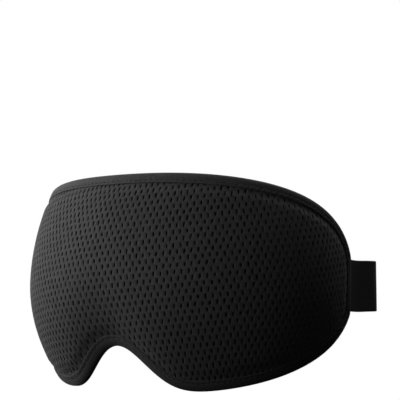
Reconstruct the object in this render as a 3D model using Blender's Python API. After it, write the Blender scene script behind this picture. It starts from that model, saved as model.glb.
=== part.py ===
"""Sleep eye mask: moulded foam under a perforated cover, with an adjustable elastic head strap.

Z is up. The mask's outside faces -Y and the strap goes round the head towards +Y. The origin is
on the face side, at the middle of the nose bridge.

The mask is drawn on a pattern: u runs along the wrap from the middle, z is the height, and
"out" is the height above the wrap, positive away from the face.
"""

import bpy
import bmesh
import numpy as np
from math import asin, cos, pi, radians, sin, sqrt

MM = 0.001

# The wrap: how the mask bends round the face. Curvature = a + b q^2 + c q^4, q = u / WRAP_UNIT.
WRAP_CURVATURE = (7.48, 40.26, -40.93)
WRAP_UNIT = 120 * MM
END_U = 130.5 * MM

# The outline on the pattern: a superellipse above, and one with a nose notch below.
TOP_HEIGHT, TOP_REACH, TOP_POWERS = 47.5 * MM, 131.9 * MM, (2.79, 2.45)
LOW_DEPTH, LOW_REACH, LOW_POWERS = 54.9 * MM, 133.8 * MM, (2.64, 2.15)
NOTCH_DEPTH, NOTCH_WIDTH, NOTCH_POWER = 21.8 * MM, 22.7 * MM, 2.07

# The outside surface, above the wrap.
BULGE = 8.9 * MM
TOP_SETBACK, LOW_SETBACK, SETBACK_SPAN = 1.4 * MM, 8.4 * MM, 50 * MM
BORDER_DIP = 0.9 * MM

# Layer thicknesses and the gap between touching pieces.
GAP = 0.3 * MM
COVER, LINER, LINING = 0.5 * MM, 0.3 * MM, 0.4 * MM
FOAM_EDGE, FOAM_RECESS, FOAM_CUP = 0.4 * MM, 7.9 * MM, 2.6 * MM
PAD_TOP, PAD_LOW = 13.4 * MM, 17.4 * MM
ROLL_TOP, ROLL_LOW, ROLL_NOSE = 8 * MM, 11 * MM, 7 * MM
LAYER_EDGE = 1.0 * MM
PINCH = 5.8 * MM

# The face side: a goggle-shaped recess with two deeper eye cups.
RECESS_TOP, RECESS_LOW, RECESS_SIDE, RECESS_WALL = 21 * MM, -25 * MM, 90 * MM, 6 * MM
CUP_TOP, CUP_LOW, CUP_WALL, CUP_ROUND = 17 * MM, -24 * MM, 6.5 * MM, 14 * MM
CUP_INNER, CUP_OUTER = 18 * MM, 86 * MM
CUP_SLANT, CUP_SLANT_FROM = 0.6, 5 * MM
RIDGE_HEIGHT, RIDGE_WIDTH = 27 * MM, 20 * MM

# The binding tape and its seam.
BINDING, TAPE = 4.6 * MM, 0.45 * MM
THREAD = 0.45 * MM
SEAM_INSET = 3.2 * MM

# The head strap.
STRAP_WIDTH, STRAP_THICK = 25 * MM, 1.2 * MM
STRAP_UNDER, STRAP_DROP = 6.15 * MM, 1.3 * MM
HINGE_BEYOND = 14 * MM
HINGE_GAP = 0.8 * MM
STRAP_RISE = radians(3.05)
BEND_AFTER, BEND_RADIUS, BEND_ANGLE = 13.7 * MM, 12 * MM, radians(40)
RUN = 74 * MM

# The adjuster, by distance along the left-hand straight run.
RING_AT, RING_BARS, BAR_RADIUS = 15 * MM, 7 * MM, 1.1 * MM
SLIDER_AT = 60 * MM
SLIDER_LENGTH, SLIDER_HEIGHT, SLIDER_THICK = 16 * MM, 31 * MM, 2.2 * MM
MIDDLE_BAR, SLOT_OUTER, SLOT_HEIGHT = 2.4 * MM, 5.8 * MM, 26.4 * MM
LAYER_STEP = STRAP_THICK + GAP
TACK_HEIGHT, TACK_WIDTH, TACK_THICK = 20 * MM, 1.6 * MM, 0.4 * MM

# How finely the layers are drawn.
COLUMNS, END_STEPS = 42, 3
RING_INSETS = (PINCH, 9.5 * MM, 14 * MM)
PLAIN_INSETS = (PINCH, 14 * MM)
SPINE_REACH = 0.82


def smooth(x):
    x = np.clip(x, 0, 1)
    return x * x * (3 - 2 * x)


def soft_min(a, b, k):
    h = np.clip(0.5 + 0.5 * (b - a) / k, 0, 1)
    return b * (1 - h) + a * h - k * h * (1 - h)


# ---------------------------------------------------------------- the wrap and the pattern


def running_sum(values, steps):
    return np.concatenate([[0], np.cumsum((values[1:] + values[:-1]) / 2 * steps)])


def make_wrap_line():
    u = np.linspace(0, 150 * MM, 601)
    q = u / WRAP_UNIT
    a, b, c = WRAP_CURVATURE
    turn = running_sum(a + b * q**2 + c * q**4, np.diff(u))
    return u, running_sum(np.cos(turn), np.diff(u)), running_sum(np.sin(turn), np.diff(u)), turn


WRAP_U, WRAP_X, WRAP_Y, WRAP_TURN = make_wrap_line()


def wrap_at(u):
    side, reach = np.sign(u), np.abs(u)
    x = side * np.interp(reach, WRAP_U, WRAP_X)
    return x, np.interp(reach, WRAP_U, WRAP_Y), side * np.interp(reach, WRAP_U, WRAP_TURN)


def top_edge(u):
    n, m = TOP_POWERS
    share = np.clip(np.abs(u) / TOP_REACH, 0, 1)
    return TOP_HEIGHT * (1 - share**n) ** (1 / m)


def low_edge(u):
    n, m = LOW_POWERS
    share = np.clip(np.abs(u) / LOW_REACH, 0, 1)
    notch = NOTCH_DEPTH * np.exp(-((np.abs(u) / NOTCH_WIDTH) ** NOTCH_POWER))
    return notch - LOW_DEPTH * (1 - share**n) ** (1 / m)


def outline(columns, end_steps):
    """Stations round the edge, anticlockwise seen from the outside: (u, z) rows."""
    x = np.linspace(-1, 1, columns + 1)
    u = END_U * (0.62 * x + 0.38 * np.sin(pi / 2 * x))
    end_z = np.linspace(low_edge(END_U), top_edge(END_U), end_steps + 1)[1:-1]
    right = [(END_U, z) for z in end_z]
    left = [(-END_U, z) for z in end_z[::-1]]
    low = list(zip(u, low_edge(u)))
    top = list(zip(u[::-1], top_edge(u[::-1])))
    return np.array(low + right + top + left)


def inward(points):
    along = np.roll(points, -1, axis=0) - np.roll(points, 1, axis=0)
    normal = np.stack([-along[:, 1], along[:, 0]], axis=1)
    return normal / np.linalg.norm(normal, axis=1)[:, None]


FINE_OUTLINE = outline(600, 30)


def edge_inset(u, z):
    """Distance in from the edge, on the pattern."""
    points = np.stack([np.ravel(u), np.ravel(z)], axis=1)
    gaps = points[:, None, :] - FINE_OUTLINE[None, :, :]
    return np.sqrt((gaps**2).sum(axis=2).min(axis=1)).reshape(np.shape(u))


def outside(u, z):
    """The cover's outer surface, as height above the wrap."""
    top, low = top_edge(u), low_edge(u)
    across = np.clip((z - (top + low) / 2) / ((top - low) / 2), -1, 1)
    along = np.clip(np.abs(u) / END_U, 0, 1)
    setback = np.where(z > 0, TOP_SETBACK, LOW_SETBACK) * (z / SETBACK_SPAN) ** 2
    dip = BORDER_DIP * (1 - smooth((edge_inset(u, z) - PINCH) / (4 * MM)))
    return BULGE * (1 - across**2) * (1 - along**4) - setback * (1 - along**6) - dip


def recess_inset(u, z):
    """How far inside the goggle-shaped recess a point lies."""
    ridge = RIDGE_HEIGHT * np.exp(-((u / RIDGE_WIDTH) ** 2))
    inset = soft_min(RECESS_TOP - z, z - RECESS_LOW - ridge, 6 * MM)
    return soft_min(inset, RECESS_SIDE - np.abs(u), 12 * MM)


def cup_inset(u, z):
    """How far inside an eye cup a point lies. The cup's nose side slants outwards below."""
    slant = CUP_SLANT * np.clip(CUP_SLANT_FROM - z, 0, None)
    inset = soft_min(CUP_TOP - z, z - CUP_LOW, CUP_ROUND)
    inset = soft_min(inset, np.abs(u) - CUP_INNER - slant, CUP_ROUND)
    return soft_min(inset, CUP_OUTER - np.abs(u), CUP_ROUND)


def foam_thickness(u, z):
    lower = smooth((-z - 5 * MM) / (25 * MM))
    nose = np.exp(-((u / RIDGE_WIDTH) ** 2)) * smooth(-z / (10 * MM))
    pad = PAD_TOP + (PAD_LOW - PAD_TOP) * lower
    roll = ROLL_TOP + (ROLL_LOW - ROLL_TOP) * lower + ROLL_NOSE * nose
    rise = np.sin(pi / 2 * np.clip((edge_inset(u, z) - PINCH) / roll, 0, 1))
    thick = FOAM_EDGE + (pad - FOAM_EDGE) * rise
    thick = thick + (FOAM_RECESS - thick) * smooth(recess_inset(u, z) / RECESS_WALL)
    return thick + (FOAM_CUP - thick) * smooth(cup_inset(u, z) / CUP_WALL)


def below_cover(depth):
    return lambda u, z: outside(u, z) - depth


def below_foam(depth):
    return lambda u, z: outside(u, z) - FOAM_FRONT - foam_thickness(u, z) - depth


LINER_FRONT = COVER + GAP
FOAM_FRONT = LINER_FRONT + LINER + GAP
EDGE_STACK = FOAM_FRONT + FOAM_EDGE + GAP + LINING
FACE_SHIFT = float(below_foam(GAP + LINING)(np.array(0.0), np.array(0.0)))


def to_world(u, z, out):
    """The point at height `out` above the wrap at (u, z)."""
    x, y, turn = wrap_at(u)
    return np.stack([x + np.sin(turn) * out, y - np.cos(turn) * out + FACE_SHIFT, z + 0 * u], axis=-1)


# ---------------------------------------------------------------- meshes


def make_material(name, color, roughness, metallic=0.0):
    material = bpy.data.materials.new(name)
    material.use_nodes = True
    shader = material.node_tree.nodes["Principled BSDF"]
    shader.inputs["Base Color"].default_value = (*color, 1)
    shader.inputs["Roughness"].default_value = roughness
    shader.inputs["Metallic"].default_value = metallic
    return material


def make_object(name, vertices, faces, material, parent=None):
    mesh = bpy.data.meshes.new(name)
    mesh.from_pydata([tuple(v) for v in vertices], [], faces)
    shape = bmesh.new()
    shape.from_mesh(mesh)
    bmesh.ops.remove_doubles(shape, verts=shape.verts, dist=1e-7)
    bmesh.ops.recalc_face_normals(shape, faces=shape.faces)
    shape.to_mesh(mesh)
    shape.free()
    mesh.materials.append(material)
    mesh.shade_smooth()
    mesh.set_sharp_from_angle(angle=radians(40))
    body = bpy.data.objects.new(name, mesh)
    bpy.context.scene.collection.objects.link(body)
    body.parent = parent
    return body


def strip(first, second, closed=True):
    """Triangles between two rows of vertex numbers, always split along the same diagonal."""
    count = len(first) if closed else len(first) - 1
    faces = []
    for i in range(count):
        j = (i + 1) % len(first)
        faces.append((first[i], first[j], second[j]))
        faces.append((first[i], second[j], second[i]))
    return faces


def pattern_rings(insets, shares):
    """Rings of (u, z) from the layer's edge inwards, the last on the spine between the cups."""
    edge = outline(COLUMNS, END_STEPS)
    normal = inward(edge)
    rings = [edge + normal * inset for inset in (LAYER_EDGE, *insets)]
    spine_u = SPINE_REACH * edge[:, 0]
    spine = np.stack([spine_u, (top_edge(spine_u) + low_edge(spine_u)) / 2], axis=1)
    last = rings[-1]
    return rings + [last + (spine - last) * share for share in shares]


FINE_RINGS = pattern_rings(RING_INSETS, (0.25, 0.5, 0.75, 1.0))
PLAIN_RINGS = pattern_rings(PLAIN_INSETS, (0.5, 1.0))


def make_layer(name, front, front_rings, back, back_rings, material):
    """A closed layer between two surfaces over the pattern."""
    rows = [to_world(r[:, 0], r[:, 1], front(r[:, 0], r[:, 1])) for r in front_rings]
    rows += [to_world(r[:, 0], r[:, 1], back(r[:, 0], r[:, 1])) for r in back_rings]
    count = len(rows[0])
    numbers = [list(range(i * count, (i + 1) * count)) for i in range(len(rows))]
    split = len(front_rings)
    faces = []
    for i in range(split - 1):
        faces += strip(numbers[i], numbers[i + 1])
    for i in range(split, len(rows) - 1):
        faces += strip(numbers[i], numbers[i + 1])
    faces += strip(numbers[0], numbers[split])
    return make_object(name, np.concatenate(rows), faces, material)


def make_edge_sweep(name, profile, material):
    """A closed ring that follows the edge. The profile is (inset, height above the cover)."""
    edge = outline(COLUMNS, END_STEPS)
    normal = inward(edge)
    rows = []
    for inset, height in profile:
        u, z = (edge + normal * inset).T
        rows.append(to_world(u, z, outside(u, z) + height))
    count = len(edge)
    numbers = [list(range(i * count, (i + 1) * count)) for i in range(len(rows))]
    faces = []
    for i in range(len(rows)):
        faces += strip(numbers[i], numbers[(i + 1) % len(rows)])
    return make_object(name, np.concatenate(rows), faces, material)


def make_band(name, path, half_heights, material, parent):
    """A flat band standing on edge along a plan path, relative to the strap's swing axis."""
    path = np.array(path)
    along = np.gradient(path, axis=0)
    along /= np.linalg.norm(along, axis=1)[:, None]
    across = np.stack([along[:, 1], -along[:, 0]], axis=1) * STRAP_THICK / 2
    rows = []
    for side, height in ((1, -1), (1, 1), (-1, 1), (-1, -1)):
        plan = path + side * across - np.array([0, HINGE_Y])
        rows.append(np.column_stack([plan, height * np.array(half_heights)]))
    count = len(path)
    numbers = [list(range(i * count, (i + 1) * count)) for i in range(4)]
    faces = []
    for i in range(4):
        faces += strip(numbers[i], numbers[(i + 1) % 4], closed=False)
    faces += [tuple(row[0] for row in numbers), tuple(row[-1] for row in numbers[::-1])]
    return make_object(name, np.concatenate(rows), faces, material, parent)


# ---------------------------------------------------------------- the strap's plan

END_X, END_Y, _ = to_world(np.array(END_U), np.array(0.0), np.array(0.0))
STRAP_X = float(END_X) - STRAP_UNDER
HINGE_Y = float(END_Y) + HINGE_BEYOND
HALF = STRAP_WIDTH / 2


def arc(centre, radius, start, end, steps):
    angles = np.linspace(start, end, steps + 1)
    return [(centre[0] + radius * cos(a), centre[1] + radius * sin(a)) for a in angles]


def bend_start():
    return STRAP_X, HINGE_Y + BEND_AFTER


def run_start():
    x, y = bend_start()
    return x - BEND_RADIUS * (1 - cos(BEND_ANGLE)), y + BEND_RADIUS * sin(BEND_ANGLE)


def right_start():
    """The right-hand end's path and half heights, from its round end to the end of the bend."""
    reach = [HALF * cos(a) for a in np.linspace(0.06, pi / 2, 7)]
    path = [(STRAP_X, HINGE_Y - r) for r in reach]
    heights = [sqrt(HALF**2 - r**2) for r in reach]
    x, y = bend_start()
    bend = arc((x - BEND_RADIUS, y), BEND_RADIUS, 0, BEND_ANGLE, 4)
    return path + bend, heights + [HALF] * len(bend)


def apex_arc():
    x, y = run_start()
    x, y = x - RUN * sin(BEND_ANGLE), y + RUN * cos(BEND_ANGLE)
    radius = x / cos(BEND_ANGLE)
    return arc((0, y - radius * sin(BEND_ANGLE)), radius, BEND_ANGLE, pi - BEND_ANGLE, 14)


def left_run(distance, height):
    """A point on the left-hand straight run, `height` outside the strap's middle."""
    x, y = run_start()
    along, across = (sin(BEND_ANGLE), cos(BEND_ANGLE)), (-cos(BEND_ANGLE), sin(BEND_ANGLE))
    return (-x + along[0] * distance + across[0] * height, y + along[1] * distance + across[1] * height)


def mirror(path):
    return [(-x, y) for x, y in path]


def bar_wrap(bar_at, side):
    """Round a ring bar and back: side is -1 for a band that comes from the mask's end."""
    centre = -LAYER_STEP / 2
    radius = BAR_RADIUS + GAP + STRAP_THICK / 2
    around = [
        (bar_at - side * radius * cos(a), centre + radius * sin(a))
        for a in np.linspace(pi / 2, -pi / 2, 9)
    ]
    near, far = bar_at + side * 5.5 * MM, bar_at + side * 3 * MM
    approach = [(near, 0), (far, 0.35 * MM)]
    leave = [(far, -LAYER_STEP - 0.35 * MM), (near, -LAYER_STEP)]
    return approach + around + leave


# ---------------------------------------------------------------- the mask body


def build_mask_body():
    cover = make_material("perforated_knit", (0.014, 0.014, 0.015), 0.85)
    backing = make_material("blackout_cloth", (0.006, 0.006, 0.006), 0.95)
    foam = make_material("charcoal_foam", (0.03, 0.03, 0.032), 0.9)
    lining = make_material("smooth_knit", (0.03, 0.03, 0.031), 0.7)
    tape = make_material("binding_tape", (0.018, 0.018, 0.019), 0.8)
    make_layer("outer_mesh_cover", below_cover(0), PLAIN_RINGS, below_cover(COVER), PLAIN_RINGS, cover)
    make_layer(
        "blackout_liner",
        below_cover(LINER_FRONT),
        PLAIN_RINGS,
        below_cover(LINER_FRONT + LINER),
        PLAIN_RINGS,
        backing,
    )
    make_layer("foam_core", below_cover(FOAM_FRONT), PLAIN_RINGS, below_foam(0), FINE_RINGS, foam)
    make_layer("face_lining", below_foam(GAP), FINE_RINGS, below_foam(GAP + LINING), FINE_RINGS, lining)
    front, back = GAP, -EDGE_STACK - GAP
    round_off = 0.7 * MM
    make_edge_sweep(
        "edge_binding",
        [
            (BINDING, front + TAPE),
            (round_off, front + TAPE),
            (0, front + TAPE - round_off),
            (0, back - TAPE + round_off),
            (round_off, back - TAPE),
            (BINDING, back - TAPE),
            (BINDING, back),
            (TAPE + GAP, back),
            (TAPE + GAP, front),
            (BINDING, front),
        ],
        tape,
    )


def build_seam_threads():
    thread = make_material("black_thread", (0.02, 0.02, 0.02), 0.6)
    near, far = SEAM_INSET, SEAM_INSET + THREAD
    front = GAP + TAPE + GAP
    back = -EDGE_STACK - front
    for name, low, high in (
        ("binding_needle_thread", front, front + THREAD),
        ("binding_bobbin_thread", back - THREAD, back),
    ):
        make_edge_sweep(name, [(near, high), (near, low), (far, low), (far, high)], thread)
    return thread


# ---------------------------------------------------------------- strap ends and strap


def make_plate(name, corners, thickness, material, parent=None):
    """A flat plate: the corner points of one face, and the vector to the other."""
    corners = np.array(corners)
    count = len(corners)
    faces = [tuple(range(count)), tuple(range(2 * count - 1, count - 1, -1))]
    for i in range(count):
        j = (i + 1) % count
        faces.append((i, i + count, j + count, j))
    points = np.concatenate([corners, corners + np.array(thickness)])
    return make_object(name, points, faces, material, parent)


def build_anchor(side, name, elastic):
    """The sewn end: its free edge is hollowed round the strap's swing axis."""
    inner = float(END_Y) - BINDING - 0.6 * MM
    radius = HALF + HINGE_GAP
    limit = asin(HALF / radius)
    shape = [(inner, HALF), (inner, -HALF)]
    shape += [(HINGE_Y - radius * cos(a), radius * sin(a)) for a in np.linspace(-limit, limit, 13)]
    x = side * (STRAP_X + STRAP_THICK / 2)
    corners = [(x, y, z - STRAP_DROP) for y, z in shape]
    make_plate(name, corners, (-side * STRAP_THICK, 0, 0), elastic)


def build_anchor_tack(side, name, thread):
    y = float(END_Y) - BINDING / 2
    x = side * (STRAP_X - STRAP_THICK / 2 - GAP)
    low, high = -STRAP_DROP - TACK_HEIGHT / 2, -STRAP_DROP + TACK_HEIGHT / 2
    corners = [(x, y, low), (x, y + TACK_WIDTH, low), (x, y + TACK_WIDTH, high), (x, y, high)]
    make_plate(name, corners, (-side * TACK_THICK, 0, 0), thread)


def make_run_tack(name, distance, thread, parent):
    """A bar tack under the turned-back layer of the left-hand run."""
    height = -LAYER_STEP - STRAP_THICK / 2 - GAP
    near, far = left_run(distance, height), left_run(distance + TACK_WIDTH, height)
    low, high = -TACK_HEIGHT / 2, TACK_HEIGHT / 2
    corners = [(*near, low), (*far, low), (*far, high), (*near, high)]
    corners = [(x, y - HINGE_Y, z) for x, y, z in corners]
    across = np.array([cos(BEND_ANGLE), -sin(BEND_ANGLE), 0]) * TACK_THICK
    make_plate(name, corners, across, thread, parent)


def build_strap_left(elastic, parent):
    start, heights = right_start()
    inner_end = RING_AT - 14 * MM
    wrap = [left_run(*p) for p in bar_wrap(RING_AT, -1)]
    path = mirror(start) + wrap + [left_run(inner_end, -LAYER_STEP)]
    heights = heights + [HALF] * (len(wrap) + 1)
    make_band("strap_left", path, heights, elastic, parent)


def build_doubled_loop(elastic, parent):
    end = SLIDER_AT - 9 * MM - GAP
    wrap = [left_run(*p) for p in bar_wrap(RING_AT + RING_BARS, 1)]
    path = [left_run(end, 0)] + wrap + [left_run(end, -LAYER_STEP)]
    make_band("strap_doubled_loop", path, [HALF] * len(path), elastic, parent)


def build_strap_back(elastic, parent):
    start, heights = right_start()
    over = apex_arc()[::-1]
    path = [left_run(SLIDER_AT + 9 * MM + GAP, 0)] + over + start[::-1]
    make_band("strap_back", path, [HALF] * (len(over) + 1) + heights[::-1], elastic, parent)


def build_ring(parent):
    plastic = make_material("black_nylon", (0.012, 0.012, 0.012), 0.35)
    half_length, half_height, corner = RING_BARS / 2, HALF + 2.1 * MM, 1.6 * MM
    height = -LAYER_STEP / 2
    stations = []
    for along, up, start in ((1, 1, 0), (-1, 1, pi / 2), (-1, -1, pi), (1, -1, 1.5 * pi)):
        centre = (along * (half_length - corner), up * (half_height - corner))
        stations += arc(centre, corner, start, start + pi / 2, 3)
    stations = np.array(stations)
    outward = -inward(stations)
    rows = []
    for k in range(8):
        turn = 2 * pi * k / 8
        ring = stations + outward * BAR_RADIUS * cos(turn)
        lift = height + BAR_RADIUS * sin(turn)
        plan = [left_run(RING_AT + half_length + along, lift) for along, _ in ring]
        rows.append([(x, y - HINGE_Y, z) for (x, y), (_, z) in zip(plan, ring)])
    count = len(stations)
    numbers = [list(range(i * count, (i + 1) * count)) for i in range(8)]
    faces = []
    for k in range(8):
        faces += strip(numbers[k], numbers[(k + 1) % 8])
    make_object("strap_ring", np.concatenate(rows), faces, plastic, parent)
    return plastic


def build_slider(plastic, parent):
    """A plate with two slots: outer frame and slot outlines joined by flat faces."""
    low, high = GAP + STRAP_THICK / 2, GAP + STRAP_THICK / 2 + SLIDER_THICK
    half_bar, half_slot = MIDDLE_BAR / 2, SLOT_HEIGHT / 2
    cuts_along = [-SLIDER_LENGTH / 2, -SLOT_OUTER, -half_bar, half_bar, SLOT_OUTER, SLIDER_LENGTH / 2]
    cuts_up = [-SLIDER_HEIGHT / 2, -half_slot, half_slot, SLIDER_HEIGHT / 2]
    shape = bmesh.new()
    for i in range(5):
        for j in range(3):
            if j == 1 and i in (1, 3):
                continue
            corners = []
            for along, up in ((i, j), (i + 1, j), (i + 1, j + 1), (i, j + 1)):
                x, y = left_run(SLIDER_AT + cuts_along[along], low)
                corners.append(shape.verts.new((x, y - HINGE_Y, cuts_up[up])))
            shape.faces.new(corners)
    bmesh.ops.remove_doubles(shape, verts=shape.verts, dist=1e-7)
    raised = bmesh.ops.extrude_face_region(shape, geom=shape.faces[:])["geom"]
    lift = np.array([-cos(BEND_ANGLE), sin(BEND_ANGLE), 0]) * (high - low)
    bmesh.ops.translate(shape, verts=[v for v in raised if isinstance(v, bmesh.types.BMVert)], vec=lift)
    bmesh.ops.recalc_face_normals(shape, faces=shape.faces)
    mesh = bpy.data.meshes.new("strap_slider")
    shape.to_mesh(mesh)
    shape.free()
    mesh.materials.append(plastic)
    slider = bpy.data.objects.new("strap_slider", mesh)
    bpy.context.scene.collection.objects.link(slider)
    slider.parent = parent
    bevel = slider.modifiers.new("soft_edges", "BEVEL")
    bevel.width = 0.35 * MM
    bevel.segments = 1


def build_slider_bands(elastic, parent):
    """The strap over the middle bar, and its end looped round that bar."""
    over = [(9, 0), (5.4, 0), (4.3, 0.9), (4.1, 3.3), (3.1, 5.0), (1.4, 5.5)]
    over = [(-r, h) for r, h in over] + over[::-1]
    around = [(-9, -1.5), (-4, -1.5), (0.4, -1.4), (1.8, -0.4), (2.1, 1.2), (2.1, 2.9), (1.4, 3.85)]
    around += [(0, 4.0), (-1.4, 3.85), (-2.1, 2.9), (-2.1, 1.2), (-2.1, 0.1)]
    for name, shape in (("strap_slider_pass", over), ("strap_bar_loop", around)):
        path = [left_run(SLIDER_AT + r * MM, h * MM) for r, h in shape]
        make_band(name, path, [HALF] * len(path), elastic, parent)


def build_strap(thread):
    elastic = make_material("elastic_webbing", (0.012, 0.012, 0.013), 0.8)
    for side, word in ((1, "right"), (-1, "left")):
        build_anchor(side, f"strap_anchor_{word}", elastic)
        build_anchor_tack(side, f"anchor_tack_{word}", thread)
    swing = bpy.data.objects.new("strap_swing_axis", None)
    bpy.context.scene.collection.objects.link(swing)
    swing.location = (0, HINGE_Y, -STRAP_DROP)
    swing.rotation_euler = (STRAP_RISE, 0, 0)
    build_strap_left(elastic, swing)
    build_doubled_loop(elastic, swing)
    build_strap_back(elastic, swing)
    plastic = build_ring(swing)
    build_slider(plastic, swing)
    build_slider_bands(elastic, swing)
    make_run_tack("ring_tack", RING_AT - 11 * MM, thread, swing)
    make_run_tack("slider_tack", SLIDER_AT - 7 * MM, thread, swing)


def main():
    for old in list(bpy.data.objects):
        bpy.data.objects.remove(old)
    build_mask_body()
    thread = build_seam_threads()
    build_strap(thread)


main()
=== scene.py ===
"""Looks of the sleep eye mask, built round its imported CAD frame.

Pattern coordinates are the CAD source's: u runs along the wrap from the middle, z is the height,
and "out" is the height above the wrap, positive away from the face. UV maps are in millimetres.
"""

from contextlib import contextmanager
from math import cos, pi, radians, sin

import bmesh
import bpy
import numpy as np
from mathutils import Matrix, Vector


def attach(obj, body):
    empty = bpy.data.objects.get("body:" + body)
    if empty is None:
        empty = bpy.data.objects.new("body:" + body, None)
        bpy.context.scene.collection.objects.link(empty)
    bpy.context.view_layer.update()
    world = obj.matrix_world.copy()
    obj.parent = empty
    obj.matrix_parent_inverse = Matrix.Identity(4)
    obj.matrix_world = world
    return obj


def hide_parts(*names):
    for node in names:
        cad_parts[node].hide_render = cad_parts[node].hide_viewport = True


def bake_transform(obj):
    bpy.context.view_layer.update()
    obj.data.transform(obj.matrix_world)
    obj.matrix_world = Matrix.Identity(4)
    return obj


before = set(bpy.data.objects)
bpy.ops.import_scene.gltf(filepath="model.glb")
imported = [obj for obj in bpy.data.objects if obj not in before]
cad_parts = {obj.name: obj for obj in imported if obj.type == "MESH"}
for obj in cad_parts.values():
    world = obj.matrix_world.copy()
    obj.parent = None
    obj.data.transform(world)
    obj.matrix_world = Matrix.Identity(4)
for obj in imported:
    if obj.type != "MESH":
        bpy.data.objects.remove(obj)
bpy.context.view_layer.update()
MM = 0.001
WELD = 1e-7
RANDOM = np.random.default_rng(11)

# ---- sizes, as in the CAD source

WRAP_CURVATURE = (7.48, 40.26, -40.93)
WRAP_UNIT = 120 * MM
END_U = 130.5 * MM
TOP_HEIGHT, TOP_REACH, TOP_POWERS = 47.5 * MM, 131.9 * MM, (2.79, 2.45)
LOW_DEPTH, LOW_REACH, LOW_POWERS = 54.9 * MM, 133.8 * MM, (2.64, 2.15)
NOTCH_DEPTH, NOTCH_WIDTH, NOTCH_POWER = 21.8 * MM, 22.7 * MM, 2.07
BULGE = 8.9 * MM
TOP_SETBACK, LOW_SETBACK, SETBACK_SPAN = 1.4 * MM, 8.4 * MM, 50 * MM
BORDER_DIP = 0.9 * MM
GAP = 0.3 * MM
COVER, LINER, LINING = 0.5 * MM, 0.3 * MM, 0.4 * MM
FOAM_EDGE, FOAM_RECESS, FOAM_CUP = 0.4 * MM, 7.9 * MM, 2.6 * MM
PAD_TOP, PAD_LOW = 13.4 * MM, 17.4 * MM
ROLL_TOP, ROLL_LOW, ROLL_NOSE = 8 * MM, 11 * MM, 7 * MM
PINCH = 5.8 * MM
RECESS_TOP, RECESS_LOW, RECESS_SIDE, RECESS_WALL = 21 * MM, -25 * MM, 90 * MM, 6 * MM
CUP_TOP, CUP_LOW, CUP_WALL, CUP_ROUND = 17 * MM, -24 * MM, 6.5 * MM, 14 * MM
CUP_INNER, CUP_OUTER = 18 * MM, 86 * MM
CUP_SLANT, CUP_SLANT_FROM = 0.6, 5 * MM
RIDGE_HEIGHT, RIDGE_WIDTH = 27 * MM, 20 * MM
BINDING = 4.6 * MM
STRAP_WIDTH, STRAP_THICK = 25 * MM, 1.2 * MM
STRAP_UNDER, STRAP_DROP = 6.15 * MM, 1.3 * MM
HINGE_BEYOND = 14 * MM
STRAP_RISE = radians(3.05)
BEND_AFTER, BEND_RADIUS, BEND_ANGLE = 13.7 * MM, 12 * MM, radians(40)
RUN = 74 * MM
RING_AT, RING_BARS, BAR_RADIUS = 15 * MM, 7 * MM, 1.1 * MM
SLIDER_AT = 60 * MM
SLIDER_LENGTH, SLIDER_HEIGHT, SLIDER_THICK = 16 * MM, 31 * MM, 2.2 * MM
MIDDLE_BAR, SLOT_OUTER, SLOT_HEIGHT = 2.4 * MM, 5.8 * MM, 26.4 * MM
LAYER_STEP = STRAP_THICK + GAP
SLIDER_ROUNDING = 0.55 * MM
TACK_HEIGHT, TACK_WIDTH = 20 * MM, 1.6 * MM
TACK_PROUD = 0.12 * MM
LINER_FRONT = COVER + GAP
FOAM_FRONT = LINER_FRONT + LINER + GAP
EDGE_STACK = FOAM_FRONT + FOAM_EDGE + GAP + LINING

# ---- sizes of the fabric detail

HOLE_PITCH, ROW_PITCH = 3.41 * MM, 3.03 * MM
HOLE_HALF_WIDTH, HOLE_HALF_LENGTH = 0.33 * MM, 1.16 * MM
# The knit's columns stand closer together away from the nose and lean inwards; its rows slope.
CLOSER, CLOSER_FROM = 0.13, 30 * MM
LEAN, LEAN_SPAN = 0.09, 20 * MM
ROW_SLOPE, ROW_BOW = 0.073, 0.4
# Inside the binding the layers are pressed together, to this share of the CAD's stack with its gaps.
PRESSED = 0.6
STRAP_OUT = 1.1 * MM
# The strap's sewn and cut ends are pressed to this share of its thickness, over this length.
END_THIN, END_TAPER = 0.45, 1.2 * MM
STITCH_PITCH, STITCH_LENGTH, STITCH_RADIUS = 2.8 * MM, 2.1 * MM, 0.2 * MM
STITCH_INSET = 3.5 * MM
RIB_PITCH, RIB_HEIGHT = 1.5 * MM, 0.05 * MM


def smooth(x):
    x = np.clip(x, 0, 1)
    return x * x * (3 - 2 * x)


def soft_min(a, b, k):
    h = np.clip(0.5 + 0.5 * (b - a) / k, 0, 1)
    return b * (1 - h) + a * h - k * h * (1 - h)


def unit(vectors):
    return vectors / np.linalg.norm(vectors, axis=1)[:, None]


def distances(path):
    """The distance along a path to each of its points."""
    return np.concatenate([[0], np.cumsum(np.linalg.norm(np.diff(path, axis=0), axis=1))])


def on_path(at, along, path):
    """The points of a flat path at the distances `at`."""
    return np.stack([np.interp(at, along, path[:, k]) for k in (0, 1)], axis=1)


def evened(values, axis=0):
    """Every value drawn towards its two neighbours, on closed lines."""
    return (np.roll(values, 1, axis=axis) + 2 * values + np.roll(values, -1, axis=axis)) / 4


# ---- the pattern and its surfaces


def running_sum(values, steps):
    return np.concatenate([[0], np.cumsum((values[1:] + values[:-1]) / 2 * steps)])


def make_wrap_line():
    u = np.linspace(0, 150 * MM, 601)
    q = u / WRAP_UNIT
    a, b, c = WRAP_CURVATURE
    turn = running_sum(a + b * q**2 + c * q**4, np.diff(u))
    return u, running_sum(np.cos(turn), np.diff(u)), running_sum(np.sin(turn), np.diff(u)), turn


WRAP_U, WRAP_X, WRAP_Y, WRAP_TURN = make_wrap_line()


def wrap_at(u):
    side, reach = np.sign(u), np.abs(u)
    x = side * np.interp(reach, WRAP_U, WRAP_X)
    return x, np.interp(reach, WRAP_U, WRAP_Y), side * np.interp(reach, WRAP_U, WRAP_TURN)


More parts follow.
